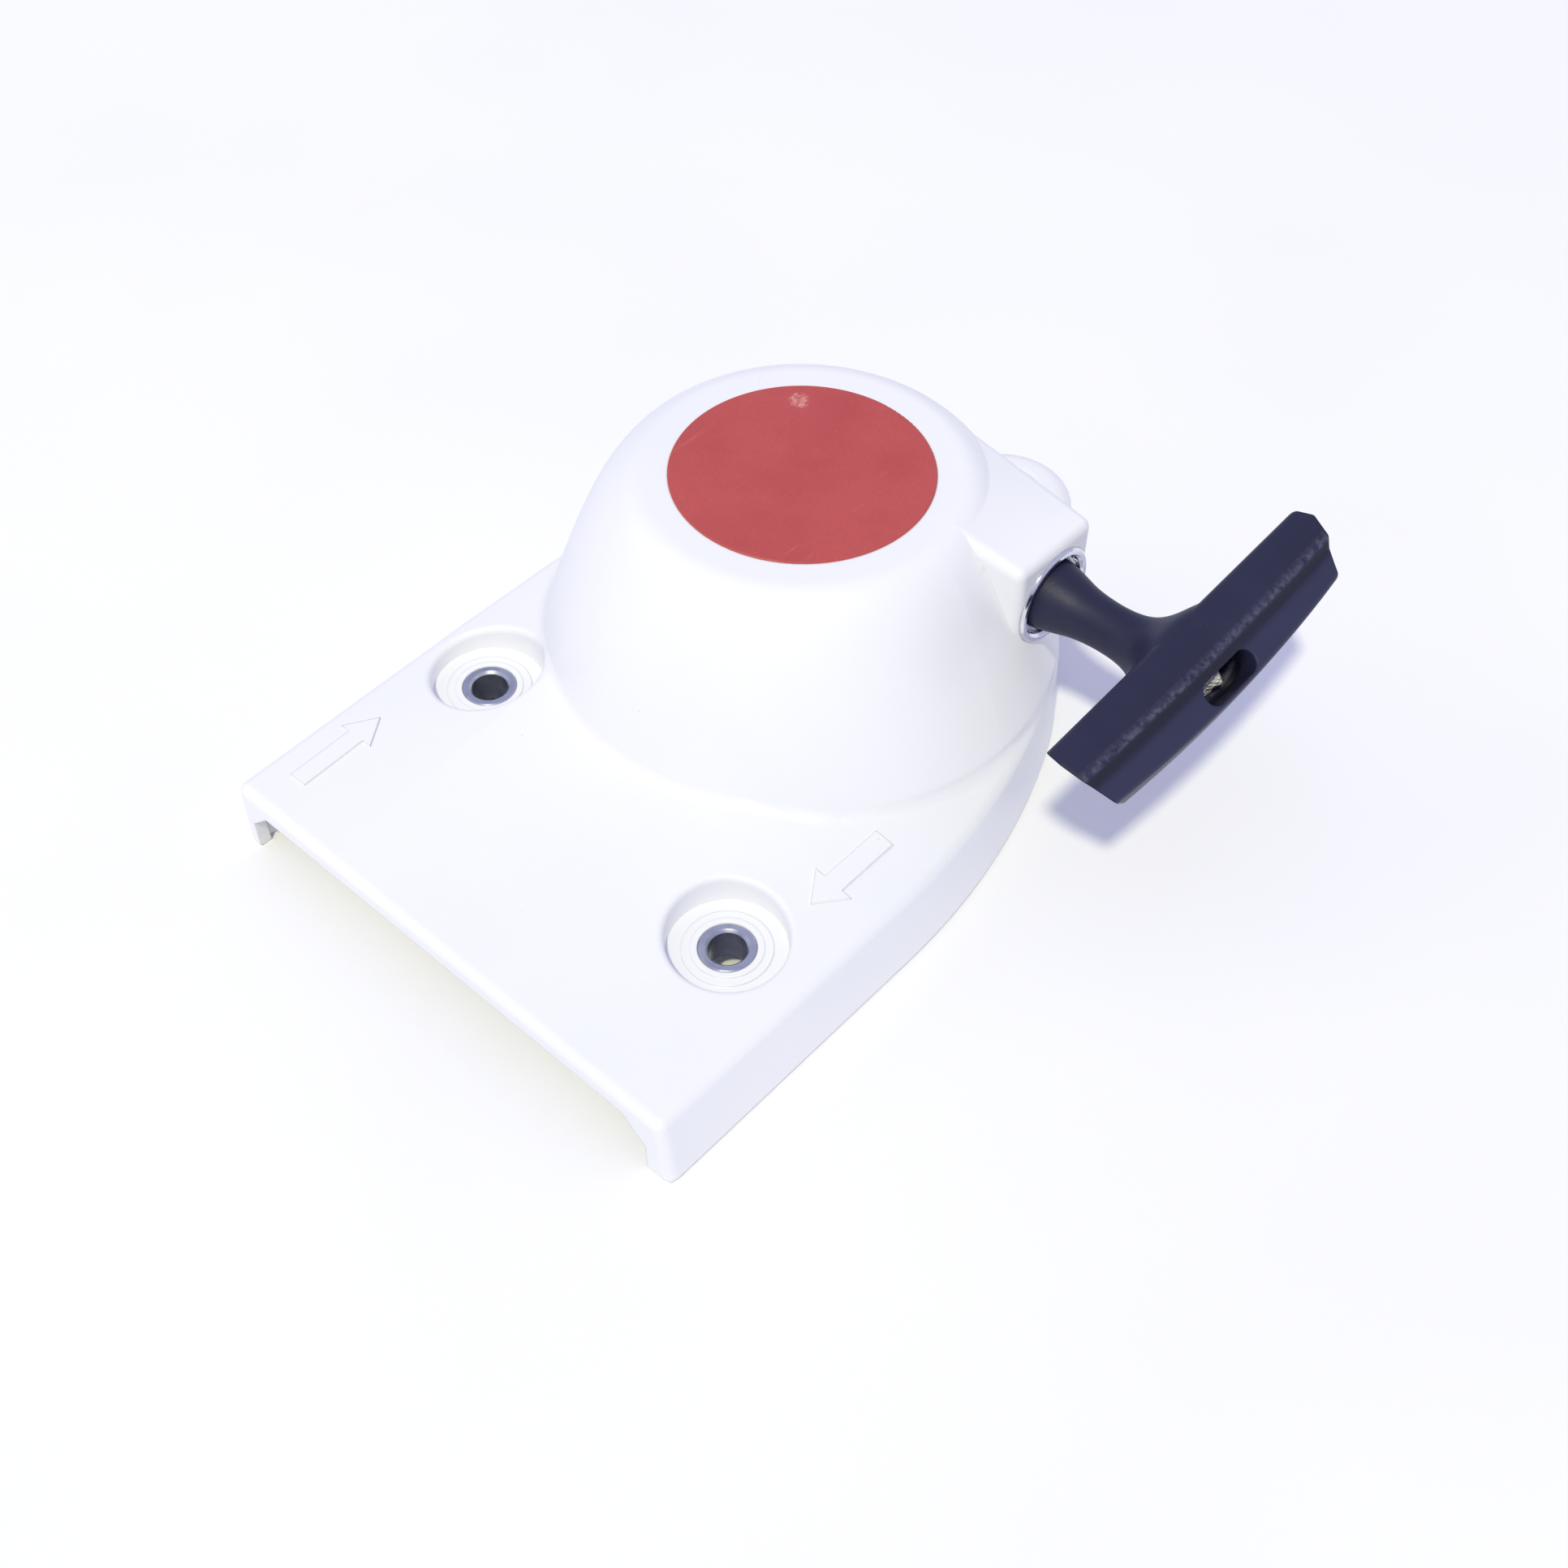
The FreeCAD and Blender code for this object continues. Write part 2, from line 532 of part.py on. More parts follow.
def pawl_clip():
    """Wire clip: a ring that rubs on the axle, and an arm that ends in a loop round the pawl's peg."""
    ring_radius = AXLE_RADIUS + CLIP_WIRE + 0.05
    loop_radius = PAWL_PEG_RADIUS + CLIP_WIRE + 0.8
    ring = Part.makeTorus(ring_radius, CLIP_WIRE, Vector(0, 0, CLIP_Z))
    arm_end = PAWL_PEG_X - 2.6
    arm = Part.makeCylinder(CLIP_WIRE, arm_end - ring_radius, Vector(ring_radius, 0, CLIP_Z), X)
    arm = arm.cut(cylinder(AXLE_RADIUS + 0.05, 20, 35))
    loop = Part.makeTorus(loop_radius, CLIP_WIRE, Vector(PAWL_PEG_X - 0.2, 0, CLIP_Z))
    return ring.fuse(arm).fuse(loop)


# --- rope and grip -----------------------------------------------------------
def rope_run():
    """Straight rope from the winding, through the ferrule and the stem, to its knot."""
    run = rope_line_cylinder(ROPE_DIAMETER / 2, 5, KNOT.x)
    run = run.cut(cylinder(WINDING_RADIUS + GAP, 30, 52))
    return run.cut(Part.makeSphere(KNOT_RADIUS, KNOT))


def rope_knot():
    """Outer shape of the knot, as a ball."""
    return Part.makeSphere(KNOT_RADIUS, KNOT)


def bar_section(place, size=1.0):
    """Section of the bar at a place along it (-1 to 1, end to end), scaled about its middle."""
    share = 1 - place ** 2
    y = ROPE_Y + place * BAR_HALF_LENGTH
    corners = [Vector(x + bulge * share, y, ROPE_Z + height) for x, height, _, bulge in BAR_CORNERS]
    middle = sum(corners, Vector(0, 0, 0)) * (1 / len(corners))
    corners = [middle + (corner - middle) * size for corner in corners]
    return rounded_outline(corners, [radius * size for _, _, radius, _ in BAR_CORNERS])


def end_cut(side):
    """All that lies beyond one end of the bar, which spreads along X and leans back underneath."""
    start_x, run, over, depth, far = 55.0, 40.0, 4.0, 30.0, 20.0
    lean = math.tan(math.radians(BAR_END_SLANT))
    inner_x, inner_height = BAR_CORNERS[0][:2]
    reach = BAR_HALF_LENGTH - BAR_END_FLARE * (inner_x - start_x)
    high, low = inner_height + over, inner_height - depth
    corners = [(reach + over * lean, high), (reach + far, high),
               (reach + far, low), (reach - depth * lean, low)]
    places = [Vector(start_x, ROPE_Y + side * y, ROPE_Z + height) for y, height in corners]
    face = Part.Face(Part.makePolygon(places + places[:1]))
    return face.extrude(Vector(run, side * run * BAR_END_FLARE, 0))


def bar_body():
    """The bar, cut to length, with a recess in each end."""
    size, start = BAR_RECESS
    bar = Part.makeLoft([bar_section(place) for place in (-1.15, -0.6, 0, 0.6, 1.15)], True, False)
    for side in (-1, 1):
        bar = bar.cut(end_cut(side))
        wires = [bar_section(side * place, size) for place in (start, 1.15)]
        bar = bar.cut(Part.makeLoft(wires, True, True))
    return bar


def stem_body():
    """Stem from its seat in the ferrule, flaring out into the bar."""
    wires = []
    for x, half_width, top, bottom in STEM_SECTIONS:
        centre = Vector(x, ROPE_Y, ROPE_Z + (top + bottom) / 2)
        ellipse = Part.Ellipse(centre + Y * half_width, centre + Z * (top - bottom) / 2, centre)
        wires.append(Part.Wire(ellipse.toShape()))
    return Part.makeLoft(wires, True, False)


def knot_room():
    """Pocket for the knot, and the slot through the bar's outer facet that it is tied through."""
    tilt = math.radians(MOUTH_TILT)
    outward = Vector(math.sin(tilt), 0, math.cos(tilt))
    pocket = oval_prism(Vector(POCKET_X[0], ROPE_Y, ROPE_Z), X, POCKET_RADIUS, POCKET_HALF_GAP,
                        POCKET_X[1] - POCKET_X[0])
    mouth = oval_prism(MOUTH - outward * MOUTH_DEPTH, outward, MOUTH_RADIUS, MOUTH_HALF_GAP, MOUTH_DEPTH + 5)
    return pocket.fuse(mouth)


def starter_grip():
    grip = bar_body().fuse(stem_body()).cut(knot_room())
    grip = grip.cut(rope_line_cylinder(ROPE_DIAMETER / 2 + 0.35, 30, POCKET_X[0] + 1))
    grip.rotate(Vector(0, ROPE_Y, ROPE_Z), X, GRIP_TURN)
    return grip


# --- write every piece -------------------------------------------------------
PIECES = {
    "starter_cover": starter_cover,
    "badge_disc": badge_disc,
    "rope_ferrule": rope_ferrule,
    "rotor_axle": rotor_axle,
    "spring_case": spring_case,
    "rewind_spring": rewind_spring,
    "axle_washer": axle_washer,
    "e_clip": e_clip,
    "rope_rotor": rope_rotor,
    "rope_winding": rope_winding,
    "pawl": pawl,
    "pawl_clip": pawl_clip,
    "rope_run": rope_run,
    "rope_knot": rope_knot,
    "starter_grip": starter_grip,
}

os.makedirs("parts", exist_ok=True)
for piece_name, make in PIECES.items():
    save(piece_name, make())
for place_name, place_x, place_y, _, _ in SCREW_PLACES:
    save("sleeve_%s" % place_name, screw_sleeve(place_x, place_y))
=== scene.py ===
"""Looks of the recoil starter: its materials, the rope in it, the floor, the lights and the camera."""

import math

import bpy
from mathutils import Matrix, Vector


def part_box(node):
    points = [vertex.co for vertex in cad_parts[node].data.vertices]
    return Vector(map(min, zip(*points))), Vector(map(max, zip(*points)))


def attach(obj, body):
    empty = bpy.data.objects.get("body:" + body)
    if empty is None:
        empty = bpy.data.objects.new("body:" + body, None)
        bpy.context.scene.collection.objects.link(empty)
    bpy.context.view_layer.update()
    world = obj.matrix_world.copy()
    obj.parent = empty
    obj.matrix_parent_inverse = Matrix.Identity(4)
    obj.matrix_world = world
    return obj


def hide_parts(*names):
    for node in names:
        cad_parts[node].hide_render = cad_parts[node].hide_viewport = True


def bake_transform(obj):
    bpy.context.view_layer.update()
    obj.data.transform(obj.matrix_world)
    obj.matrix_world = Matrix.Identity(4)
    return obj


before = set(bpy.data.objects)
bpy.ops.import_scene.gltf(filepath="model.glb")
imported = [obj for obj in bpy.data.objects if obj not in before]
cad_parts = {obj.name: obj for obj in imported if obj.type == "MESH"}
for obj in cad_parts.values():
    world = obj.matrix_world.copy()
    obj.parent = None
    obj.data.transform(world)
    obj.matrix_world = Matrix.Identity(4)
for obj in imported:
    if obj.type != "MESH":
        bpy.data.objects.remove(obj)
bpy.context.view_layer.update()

MM = 0.001
ORIGIN = Vector((0, 0, 0))
X_AXIS, Z_AXIS = Vector((1, 0, 0)), Vector((0, 0, 1))

# --- places, from the frame ---------------------------------------------------
ferrule_low, ferrule_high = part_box("rope_ferrule")
winding_low, winding_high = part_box("rope_winding")
knot_low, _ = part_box("rope_knot")
run_low, run_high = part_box("rope_run")
badge_low, badge_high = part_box("badge_disc")
ROPE_LINE = (ferrule_low + ferrule_high) / 2
ROPE_RADIUS = (run_high.z - run_low.z) / 2


# --- procedural materials -----------------------------------------------------
class Finish:
    """A material with a Principled shader, whose colour, roughness and normal are built up in layers."""

    def __init__(self, name, colour, roughness, metallic=0.0, ior=1.5):
        self.block = bpy.data.materials.new(name)
        self.block.use_nodes = True
        self.nodes = self.block.node_tree.nodes
        self.links = self.block.node_tree.links
        self.shader = self.nodes["Principled BSDF"]
        self.shader.inputs["Base Color"].default_value = (*colour, 1)
        self.shader.inputs["Roughness"].default_value = roughness
        self.shader.inputs["Metallic"].default_value = metallic
        self.shader.inputs["IOR"].default_value = ior
        self.place = self.nodes.new("ShaderNodeTexCoord").outputs["Object"]

    def feed(self, socket, value):
        """Puts a number, a colour or another node's output into a socket."""
        if isinstance(value, bpy.types.NodeSocket):
            self.links.new(value, socket)
        elif hasattr(value, "__len__") and len(value) == 3 and socket.type == "RGBA":
            socket.default_value = (*value, 1)
        else:
            socket.default_value = value

    def math(self, operation, first, second=0.0, third=0.0):
        """Output of a math node fed with numbers or other outputs."""
        made = self.nodes.new("ShaderNodeMath")
        made.operation = operation
        for socket, value in zip(made.inputs, (first, second, third)):
            self.feed(socket, value)
        return made.outputs[0]

    def stretched(self, scale, turn=(0, 0, 0)):
        """The object's coordinates, scaled and turned."""
        made = self.nodes.new("ShaderNodeMapping")
        made.inputs["Scale"].default_value = scale
        made.inputs["Rotation"].default_value = turn
        self.feed(made.inputs["Vector"], self.place)
        return made.outputs[0]

    def noise(self, scale, detail=2.0, place=None):
        made = self.nodes.new("ShaderNodeTexNoise")
        self.feed(made.inputs["Vector"], place or self.place)
        made.inputs["Scale"].default_value = scale
        made.inputs["Detail"].default_value = detail
        return made.outputs[0]

    def between(self, value, low, high, top=1.0):
        """0 below low, top above high, and a ramp between them; low may be the larger."""
        made = self.nodes.new("ShaderNodeMapRange")
        made.inputs["From Min"].default_value = low
        made.inputs["From Max"].default_value = high
        made.inputs["To Max"].default_value = top
        self.feed(made.inputs["Value"], value)
        return made.outputs[0]

    def distance(self, point, radius=1.0):
        """Distance from a point, in radii."""
        made = self.nodes.new("ShaderNodeVectorMath")
        made.operation = "DISTANCE"
        self.feed(made.inputs[0], self.place)
        made.inputs[1].default_value = point
        return self.math("DIVIDE", made.outputs["Value"], radius)

    def off_axis(self, point, axis):
        """Distance from the line through a point along X or Z."""
        apart = self.nodes.new("ShaderNodeVectorMath")
        apart.operation = "SUBTRACT"
        self.feed(apart.inputs[0], self.place)
        apart.inputs[1].default_value = point
        flat = self.nodes.new("ShaderNodeVectorMath")
        flat.operation = "MULTIPLY"
        self.feed(flat.inputs[0], apart.outputs[0])
        flat.inputs[1].default_value = [1 - part for part in axis]
        length = self.nodes.new("ShaderNodeVectorMath")
        length.operation = "LENGTH"
        self.feed(length.inputs[0], flat.outputs[0])
        return length.outputs["Value"]

    def rings(self, point, axis, per_metre, detail=3.0):
        """Noise that changes only with the distance from an axis, as tool marks do on a turned face."""
        made = self.nodes.new("ShaderNodeTexNoise")
        made.noise_dimensions = "1D"
        self.feed(made.inputs["W"], self.off_axis(point, axis))
        made.inputs["Scale"].default_value = per_metre
        made.inputs["Detail"].default_value = detail
        return made.outputs[0]

    def specks(self, per_metre, radius):
        """1 in small round specks, 0 elsewhere."""
        made = self.nodes.new("ShaderNodeTexVoronoi")
        self.feed(made.inputs["Vector"], self.place)
        made.inputs["Scale"].default_value = per_metre
        return self.between(made.outputs["Distance"], radius * per_metre, radius * per_metre * 0.6)

    def scratches(self, per_metre, turn, share):
        """1 along fine straight scratches, 0 elsewhere."""
        along = self.noise(per_metre, 2.0, self.stretched((1, 0.03, 1), turn))
        return self.between(self.math("ABSOLUTE", self.math("SUBTRACT", along, 0.5)), share, 0.0)

    def spot(self, point, radius, raggedness=0.4):
        """1 in a ragged patch about a point."""
        uneven = self.noise(1.6 / radius, 3.0)
        ragged = self.math("MULTIPLY_ADD", uneven, raggedness, self.distance(point, radius))
        return self.between(ragged, 1.0 + raggedness / 2, 0.75 + raggedness / 2)

    def both(self, first, second):
        return self.math("MULTIPLY", first, second)

    def layer(self, name, value, mask):
        """Lays a value over the shader's input where the mask is 1."""
        socket = self.shader.inputs[name]
        coloured = socket.type == "RGBA"
        mix = self.nodes.new("ShaderNodeMix")
        mix.data_type = "RGBA" if coloured else "FLOAT"
        enabled = [s for s in mix.inputs if s.enabled]
        result = [s for s in mix.outputs if s.enabled][0]
        below = socket.links[0].from_socket if socket.links else socket.default_value
        self.feed(enabled[0], mask)
        self.feed(enabled[1], below)
        self.feed(enabled[2], value)
        self.links.new(result, socket)

    def paint(self, colour, mask):
        self.layer("Base Color", colour, mask)

    def roughen(self, roughness, mask):
        self.layer("Roughness", roughness, mask)

    def relief(self, height, depth, strength=1.0):
        """Bumps the surface by height times depth, on top of what is there."""
        bump = self.nodes.new("ShaderNodeBump")
        bump.inputs["Strength"].default_value = strength
        bump.inputs["Distance"].default_value = depth
        self.feed(bump.inputs["Height"], height)
        socket = self.shader.inputs["Normal"]
        if socket.links:
            self.links.new(socket.links[0].from_socket, bump.inputs["Normal"])
        self.links.new(bump.outputs[0], socket)

    def soft_edges(self, radius):
        """Rounds the shading of sharp edges, and returns a mask that is 1 on them."""
        bevel = self.nodes.new("ShaderNodeBevel")
        bevel.samples = 6
        bevel.inputs["Radius"].default_value = radius
        self.links.new(bevel.outputs[0], self.shader.inputs["Normal"])
        turn = self.nodes.new("ShaderNodeVectorMath")
        turn.operation = "DOT_PRODUCT"
        self.feed(turn.inputs[0], bevel.outputs[0])
        self.feed(turn.inputs[1], self.nodes.new("ShaderNodeNewGeometry").outputs["Normal"])
        return self.between(turn.outputs["Value"], 0.995, 0.86)


def cover_plastic():
    """White semi-gloss moulding, faintly uneven, with a few marks and a painted shade for a pinhole dimple.
    """
    finish = Finish("cover_plastic", (0.87, 0.875, 0.89), 0.3, ior=1.46)
    edges = finish.soft_edges(0.5 * MM)
    finish.paint((0.80, 0.815, 0.865), finish.between(finish.noise(26, 3.0), 0.42, 0.8, 0.5))
    finish.paint((0.93, 0.93, 0.93), finish.both(edges, finish.between(finish.noise(240), 0.35, 0.6, 0.5)))
    finish.paint((0.33, 0.31, 0.32), finish.specks(170, 0.11 * MM))
    # Painted shade: a small dark bluish spot stands in for the shade inside a pinhole dimple.
    dimple_shade = finish.spot(Vector((-24.6, -41.2, 21.2)) * MM, 0.75 * MM, 0.3)
    finish.paint((0.18, 0.17, 0.24), dimple_shade)
    finish.paint((0.42, 0.40, 0.42), finish.spot(Vector((-16.4, -10.3, 50)) * MM, 0.35 * MM))
    hairlines = finish.scratches(130, (0.3, 0.5, 0.9), 0.006)
    scuffs = finish.both(hairlines, finish.between(finish.noise(40), 0.5, 0.62))
    finish.roughen(0.46, finish.between(finish.noise(55, 4.0), 0.4, 0.75))
    finish.roughen(0.6, scuffs)
    finish.relief(finish.noise(420, 1.0), 0.014 * MM)
    finish.relief(finish.noise(2600, 2.0), 0.004 * MM)
    finish.relief(scuffs, -0.01 * MM)
    return finish.block


def badge_print():
    """Brick-red satin disc with a fine speckle, light scratches and a scuff near its edge."""
    finish = Finish("badge_print", (0.49, 0.075, 0.070), 0.42, ior=1.45)
    edges = finish.soft_edges(0.25 * MM)
    finish.paint((0.53, 0.095, 0.085), finish.between(finish.noise(1900, 2.0), 0.45, 0.75, 0.6))
    finish.paint((0.40, 0.05, 0.052), finish.between(finish.noise(60, 3.0), 0.48, 0.75, 0.5))
    finish.paint((0.62, 0.20, 0.18), finish.both(edges, finish.between(finish.noise(300), 0.4, 0.65, 0.8)))
    finish.paint((0.20, 0.04, 0.05), finish.specks(330, 0.10 * MM))
    centre = (badge_low + badge_high) / 2
    scuff_place = centre + Vector((-13.9, 14.7, 0.4)) * MM
    worn_spot = finish.spot(scuff_place, 2.2 * MM, 1.1)
    scuff = finish.both(worn_spot, finish.between(finish.noise(1400, 3.0), 0.42, 0.6))
    finish.paint((0.66, 0.27, 0.25), scuff)
    hairlines = finish.scratches(260, (0, 0, 0.7), 0.004)
    marks = finish.both(hairlines, finish.between(finish.noise(90), 0.52, 0.6))
    finish.paint((0.52, 0.12, 0.11), marks)
    finish.roughen(0.56, finish.between(finish.noise(120, 4.0), 0.4, 0.7))
    finish.roughen(0.7, scuff)
    finish.relief(finish.noise(1500, 2.0), 0.008 * MM)
    finish.relief(finish.rings(centre, Z_AXIS, 900), 0.006 * MM)
    return finish.block


def grip_polymer():
    """Blue-black moulding with a fine grain; along the bar a highlight is painted on the ridge, shade is
    painted in a band just outside it, and the outer facet is painted lighter.
    """
    finish = Finish("grip_polymer", (0.0115, 0.0130, 0.042), 0.5, ior=1.42)
    finish.soft_edges(0.9 * MM)
    parts = finish.nodes.new("ShaderNodeSeparateXYZ")
    finish.feed(parts.inputs[0], finish.place)
    grip_low, grip_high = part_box("starter_grip")
    aside = finish.math("DIVIDE", finish.math("SUBTRACT", parts.outputs[1], ROPE_LINE.y),
                        (grip_high.y - grip_low.y) / 2)
    ridge = 78.8 * MM           # its place along X at the bar's middle
    bow = 0.9 * MM              # how far it falls back at the bar's ends
    outward = finish.math("MULTIPLY_ADD", finish.math("MULTIPLY", aside, aside), bow, parts.outputs[0])
    finish.paint((0.019, 0.021, 0.058), finish.between(finish.noise(70, 4.0), 0.42, 0.72, 0.7))
    # Painted light: the outer facet beyond the ridge is painted lighter, as if lit.
    finish.paint((0.030, 0.031, 0.078), finish.between(outward, ridge + 1.2 * MM, ridge + 2.6 * MM, 0.6))
    # Painted highlight: a band along the ridge's crest is painted lighter, broken into patches by noise.
    crest = finish.both(finish.between(outward, ridge - 1.6 * MM, ridge - 0.4 * MM),
                        finish.between(outward, ridge + 0.4 * MM, ridge))
    highlight_patches = finish.between(finish.noise(900, 4.0), 0.35, 0.7, 0.8)
    finish.paint((0.10, 0.10, 0.15), finish.both(crest, highlight_patches))
    # Painted shade: a dark band is painted just outside the ridge, where the bar steps down.
    step = finish.both(finish.between(outward, ridge + 0.1 * MM, ridge + 0.5 * MM),
                       finish.between(outward, ridge + 2.0 * MM, ridge + 0.9 * MM, 0.85))
    finish.paint((0.004, 0.004, 0.013), step)
    finish.paint((0.09, 0.09, 0.13), finish.specks(420, 0.08 * MM))
    rubbed = finish.between(finish.noise(34, 3.0), 0.5, 0.68)
    grained = finish.between(finish.noise(900, 3.0), 0.4, 0.62, 0.5)
    finish.paint((0.04, 0.041, 0.075), finish.both(rubbed, grained))
    finish.roughen(0.38, finish.both(rubbed, finish.between(finish.noise(260), 0.4, 0.6)))
    finish.relief(finish.noise(1500, 3.0), 0.045 * MM)
    finish.relief(finish.noise(240, 2.0), 0.03 * MM)
    return finish.block


def turned_steel(name, colour, roughness, axes, ring_depth=0.012 * MM):
    """Turned or rolled steel: rings about its axes, each (point, direction), smudges and small nicks."""
    finish = Finish(name, colour, roughness, metallic=1.0)
    edges = finish.soft_edges(0.2 * MM)
    darker = [part * 0.72 for part in colour]
    lighter = [min(1.0, part * 1.2) for part in colour]
    finish.paint(darker, finish.between(finish.noise(310, 4.0), 0.45, 0.75, 0.7))
    finish.paint(lighter, finish.both(edges, finish.between(finish.noise(700), 0.35, 0.6)))
    finish.paint((0.09, 0.08, 0.09), finish.specks(900, 0.07 * MM))
    finish.roughen(min(1.0, roughness * 2.0), finish.between(finish.noise(180, 4.0), 0.45, 0.72))
    for point, axis in axes:
        finish.relief(finish.rings(point, axis, 4200), ring_depth)
    finish.relief(finish.noise(2400), 0.004 * MM)
    return finish.block


def blued_spring():
    """Spring strip: dark blue steel with rolled streaks along it and a straw tint in patches."""
    finish = Finish("spring_steel", (0.11, 0.13, 0.19), 0.3, metallic=1.0)
    finish.soft_edges(0.15 * MM)
    finish.paint((0.20, 0.17, 0.12), finish.between(finish.noise(60, 3.0), 0.5, 0.75, 0.7))
    finish.roughen(0.45, finish.between(finish.noise(500, 2.0, finish.stretched((1, 1, 6))), 0.4, 0.65))
    finish.relief(finish.noise(1800, 2.0, finish.stretched((0.2, 0.2, 3))), 0.006 * MM)
    return finish.block


def moulded_polymer(name, colour, roughness, grain=0.02 * MM, fibre=False):
    """Engineering plastic: mottled, finely grained and paler on its edges; fibre adds short streaks."""
    finish = Finish(name, colour, roughness, ior=1.48)
    edges = finish.soft_edges(0.3 * MM)
    pale = [part + 0.12 * (1 - part) for part in colour]
    dark = [part * 0.7 for part in colour]
    finish.paint(dark, finish.between(finish.noise(80, 3.0), 0.42, 0.75, 0.7))
    finish.paint(pale, finish.both(edges, finish.between(finish.noise(600), 0.4, 0.62, 0.8)))
    if fibre:
        drawn_out = finish.noise(1500, 1.0, finish.stretched((1, 0.12, 1), (0, 0, 0.6)))
        streaks = finish.between(drawn_out, 0.6, 0.68, 0.5)
        finish.paint(pale, streaks)
        finish.roughen(roughness * 0.6, streaks)
    finish.relief(finish.noise(1300, 3.0), grain)
    return finish.block


BRAID_CARRIERS = 8
BRAID_PITCH = 3.1 * MM


def braid(finish, around, along):
    """Height of a braid: around is in turns about the rope, along in metres."""
    across = finish.math("MULTIPLY", around, BRAID_CARRIERS)
    steps = finish.math("DIVIDE", along, BRAID_PITCH / 2)
    one_way = finish.math("ABSOLUTE", finish.math("SINE", finish.math(
        "MULTIPLY", finish.math("ADD", across, steps), math.pi)))
    other_way = finish.math("ABSOLUTE", finish.math("SINE", finish.math(
        "MULTIPLY", finish.math("SUBTRACT", across, steps), math.pi)))
    return finish.both(one_way, other_way)


def rope_fibre(name, straight):
    """White braided cord; its braid is laid out in space if straight, and on the cord's own map if not."""
    finish = Finish(name, (0.84, 0.835, 0.82), 0.62, ior=1.5)
    finish.shader.inputs["Sheen Weight"].default_value = 0.35
    finish.shader.inputs["Sheen Roughness"].default_value = 0.4
    parts = finish.nodes.new("ShaderNodeSeparateXYZ")
    if straight:
        finish.feed(parts.inputs[0], finish.place)
        angle = finish.math("ARCTAN2", finish.math("SUBTRACT", parts.outputs[2], ROPE_LINE.z),
                            finish.math("SUBTRACT", parts.outputs[1], ROPE_LINE.y))
        around = finish.math("DIVIDE", angle, 2 * math.pi)
        along = parts.outputs[0]
    else:
        cord_map = finish.nodes.new("ShaderNodeUVMap")
        cord_map.uv_map = "cord"
        finish.feed(parts.inputs[0], cord_map.outputs[0])
        around = parts.outputs[0]
        along = parts.outputs[1]
    height = braid(finish, around, along)
    # Painted shade: the valleys between the braid's strands are painted darker.
    finish.paint((0.50, 0.48, 0.47), finish.between(height, 0.3, 0.0, 0.8))
    finish.paint((0.66, 0.62, 0.56), finish.between(finish.noise(90, 4.0), 0.5, 0.75, 0.5))
    finish.relief(height, 0.32 * MM)
    finish.relief(finish.noise(5200, 2.0), 0.03 * MM)
    return finish.block


# --- rope ---------------------------------------------------------------------
def cord_mesh(name, line, radius, sides=16, ends=(1.0, 1.0)):
    """Closed round tube along a line of points; its map runs around it (u) and along it (v, in metres).

    ends give the radius of each rounded end against the cord's own.
    """
    tangents = []
    for index in range(len(line)):
        before, after = line[max(index - 1, 0)], line[min(index + 1, len(line) - 1)]
        tangents.append((after - before).normalized())
    side = tangents[0].orthogonal().normalized()
    verts, lengths, length = [], [], 0.0
    for index, (point, tangent) in enumerate(zip(line, tangents)):
        side = (side - tangent * side.dot(tangent)).normalized()
        up = tangent.cross(side)
        if index:
            length += (point - line[index - 1]).length
        lengths.append(length)
        share = ends[0] if index == 0 else ends[1] if index == len(line) - 1 else 1.0
        for step in range(sides):
            angle = 2 * math.pi * step / sides
            verts.append(point + (side * math.cos(angle) + up * math.sin(angle)) * radius * share)
    faces, maps = [], []
    for ring in range(len(line) - 1):
        for step in range(sides):
            after = (step + 1) % sides
            faces.append([ring * sides + step, ring * sides + after, (ring + 1) * sides + after,
                          (ring + 1) * sides + step])
            u0, u1 = step / sides, (step + 1) / sides
            v0, v1 = lengths[ring], lengths[ring + 1]
            maps += [(u0, v0), (u1, v0), (u1, v1), (u0, v1)]
    for first, outward in ((0, -1), ((len(line) - 1) * sides, 1)):
        rim = [first + step for step in range(sides)]
        faces.append(rim if outward > 0 else rim[::-1])
        maps += [(step / sides, lengths[0 if outward < 0 else -1]) for step in range(sides)]
    mesh = bpy.data.meshes.new(name)
    mesh.from_pydata(verts, [], faces)
    layer = mesh.uv_layers.new(name="cord")
    for loop, place in zip(layer.data, maps):
        loop.uv = place
    mesh.shade_smooth()
    mesh.update()
    made = bpy.data.objects.new(name, mesh)
    bpy.context.scene.collection.objects.link(made)
    return made


def evened(line, times):
    """The line with its corners eased, ends kept."""
    for _ in range(times):
        inner = [(line[i - 1] + line[i] * 2 + line[i + 1]) / 4 for i in range(1, len(line) - 1)]
        line = [line[0]] + inner + [line[-1]]
    return line


